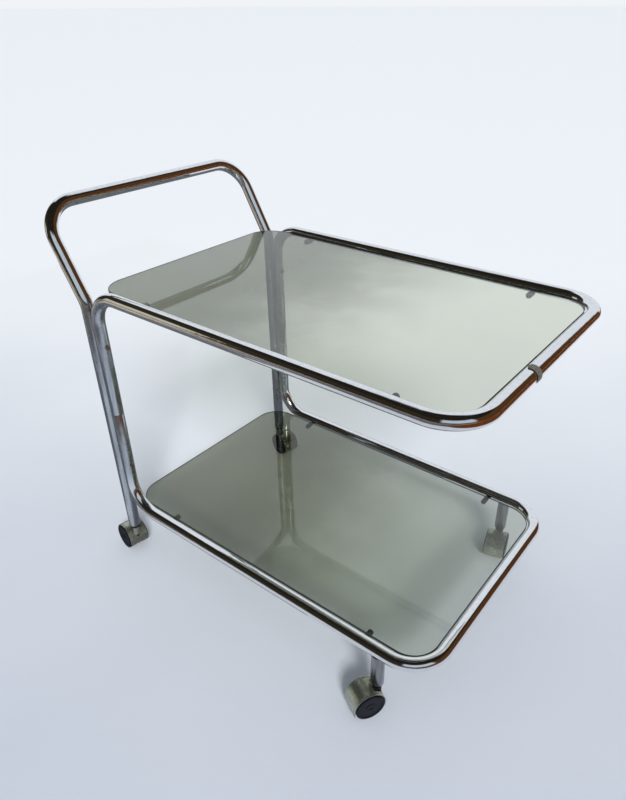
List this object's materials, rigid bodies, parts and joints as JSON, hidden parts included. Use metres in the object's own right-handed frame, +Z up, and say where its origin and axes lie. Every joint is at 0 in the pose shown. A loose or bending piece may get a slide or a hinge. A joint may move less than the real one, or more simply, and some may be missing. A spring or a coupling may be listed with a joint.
{
  "type": "bar cart",
  "caption": "Rolling bar cart with a bent chromed tube frame, smoked glass shelves, a push handle at one end and swivel casters.",
  "frame": {"origin": "bottom centre of the bounding box, on the floor under the wheels", "axes": "+X towards the front, away from the handle; +Y to the left; +Z up"},
  "size_m": [0.8054, 0.5218, 0.7029],
  "materials": {
    "chromed_tube": "polished chrome plating, lightly pitted",
    "smoked_glass": "smoked grey float glass, polished edges",
    "zinc_steel": "zinc-plated steel",
    "plain_steel": "plain turned steel",
    "black_rubber": "matt black rubber",
    "black_plastic": "black moulded plastic",
    "wheel_plastic": "hard black wheel plastic, slightly worn",
    "grey_plastic": "translucent grey plastic, dusty",
    "hood_metal": "plated pressed steel, tarnished to a greenish bronze"
  },
  "bodies": {
    "cart_frame": {"handle_and_rear_legs": "chromed_tube", "upper_shelf_frame": "chromed_tube", "lower_shelf_frame": "chromed_tube", "right_joining_sleeve": "plain_steel", "left_joining_sleeve": "plain_steel", "right_front_leg": "chromed_tube", "left_front_leg": "chromed_tube", "upper_glass_shelf": "smoked_glass", "lower_glass_shelf": "smoked_glass", "right_upper_frame_screw": "zinc_steel", "right_upper_threaded_insert": "plain_steel", "right_lower_frame_screw": "zinc_steel", "right_lower_threaded_insert": "plain_steel", "left_upper_frame_screw": "zinc_steel", "left_upper_threaded_insert": "plain_steel", "left_lower_frame_screw": "zinc_steel", "left_lower_threaded_insert": "plain_steel", "right_upper_rear_glass_stud": "zinc_steel", "right_upper_rear_rubber_sleeve": "black_rubber", "right_upper_front_glass_stud": "zinc_steel", "right_upper_front_rubber_sleeve": "black_rubber", "left_upper_rear_glass_stud": "zinc_steel", "left_upper_rear_rubber_sleeve": "black_rubber", "left_upper_front_glass_stud": "zinc_steel", "left_upper_front_rubber_sleeve": "black_rubber", "right_lower_rear_glass_stud": "zinc_steel", "right_lower_rear_rubber_sleeve": "black_rubber", "right_lower_front_glass_stud": "zinc_steel", "right_lower_front_rubber_sleeve": "black_rubber", "left_lower_rear_glass_stud": "zinc_steel", "left_lower_rear_rubber_sleeve": "black_rubber", "left_lower_front_glass_stud": "zinc_steel", "left_lower_front_rubber_sleeve": "black_rubber", "front_bar_clip": "grey_plastic", "right_front_stem_socket": "black_plastic", "left_front_stem_socket": "black_plastic", "right_rear_stem_socket": "black_plastic", "left_rear_stem_socket": "black_plastic"},
    "right_front_swivel": {"right_front_caster_hood": "hood_metal", "right_front_caster_stem": "zinc_steel", "right_front_caster_axle": "plain_steel"},
    "right_front_left_wheel": {"right_front_caster_left_wheel": "wheel_plastic"},
    "right_front_right_wheel": {"right_front_caster_right_wheel": "wheel_plastic"},
    "left_front_swivel": {"left_front_caster_hood": "hood_metal", "left_front_caster_stem": "zinc_steel", "left_front_caster_axle": "plain_steel"},
    "left_front_left_wheel": {"left_front_caster_left_wheel": "wheel_plastic"},
    "left_front_right_wheel": {"left_front_caster_right_wheel": "wheel_plastic"},
    "right_rear_swivel": {"right_rear_caster_hood": "hood_metal", "right_rear_caster_stem": "zinc_steel", "right_rear_caster_axle": "plain_steel"},
    "right_rear_left_wheel": {"right_rear_caster_left_wheel": "wheel_plastic"},
    "right_rear_right_wheel": {"right_rear_caster_right_wheel": "wheel_plastic"},
    "left_rear_swivel": {"left_rear_caster_hood": "hood_metal", "left_rear_caster_stem": "zinc_steel", "left_rear_caster_axle": "plain_steel"},
    "left_rear_left_wheel": {"left_rear_caster_left_wheel": "wheel_plastic"},
    "left_rear_right_wheel": {"left_rear_caster_right_wheel": "wheel_plastic"}
  },
  "joints": [
    {"name": "right_front_swivel_turn", "type": "hinge", "parent": "cart_frame", "child": "right_front_swivel", "pos_m": [0.28892, -0.21035, 0.06], "axis": [0, 0, 1], "continuous": true},
    {"name": "right_front_left_wheel_spin", "type": "hinge", "parent": "right_front_swivel", "child": "right_front_left_wheel", "pos_m": [0.27916, -0.22781, 0.0255], "axis": [0.8729, -0.4879, 0], "continuous": true},
    {"name": "right_front_right_wheel_spin", "type": "hinge", "parent": "right_front_swivel", "child": "right_front_right_wheel", "pos_m": [0.27916, -0.22781, 0.0255], "axis": [0.8729, -0.4879, 0], "continuous": true},
    {"name": "left_front_swivel_turn", "type": "hinge", "parent": "cart_frame", "child": "left_front_swivel", "pos_m": [0.28892, 0.23965, 0.06], "axis": [0, 0, 1], "continuous": true},
    {"name": "left_front_left_wheel_spin", "type": "hinge", "parent": "left_front_swivel", "child": "left_front_left_wheel", "pos_m": [0.29352, 0.22019, 0.0255], "axis": [0.9732, 0.23, 0], "continuous": true},
    {"name": "left_front_right_wheel_spin", "type": "hinge", "parent": "left_front_swivel", "child": "left_front_right_wheel", "pos_m": [0.29352, 0.22019, 0.0255], "axis": [0.9732, 0.23, 0], "continuous": true},
    {"name": "right_rear_swivel_turn", "type": "hinge", "parent": "cart_frame", "child": "right_rear_swivel", "pos_m": [-0.30988, -0.21035, 0.06], "axis": [0, 0, 1], "continuous": true},
    {"name": "right_rear_left_wheel_spin", "type": "hinge", "parent": "right_rear_swivel", "child": "right_rear_left_wheel", "pos_m": [-0.32958, -0.20688, 0.0255], "axis": [-0.1736, -0.9848, 0], "continuous": true},
    {"name": "right_rear_right_wheel_spin", "type": "hinge", "parent": "right_rear_swivel", "child": "right_rear_right_wheel", "pos_m": [-0.32958, -0.20688, 0.0255], "axis": [-0.1736, -0.9848, 0], "continuous": true},
    {"name": "left_rear_swivel_turn", "type": "hinge", "parent": "cart_frame", "child": "left_rear_swivel", "pos_m": [-0.30988, 0.23965, 0.06], "axis": [0, 0, 1], "continuous": true},
    {"name": "left_rear_left_wheel_spin", "type": "hinge", "parent": "left_rear_swivel", "child": "left_rear_left_wheel", "pos_m": [-0.29029, 0.23559, 0.0255], "axis": [0.2028, 0.9792, 0], "continuous": true},
    {"name": "left_rear_right_wheel_spin", "type": "hinge", "parent": "left_rear_swivel", "child": "left_rear_right_wheel", "pos_m": [-0.29029, 0.23559, 0.0255], "axis": [0.2028, 0.9792, 0], "continuous": true}
  ]
}
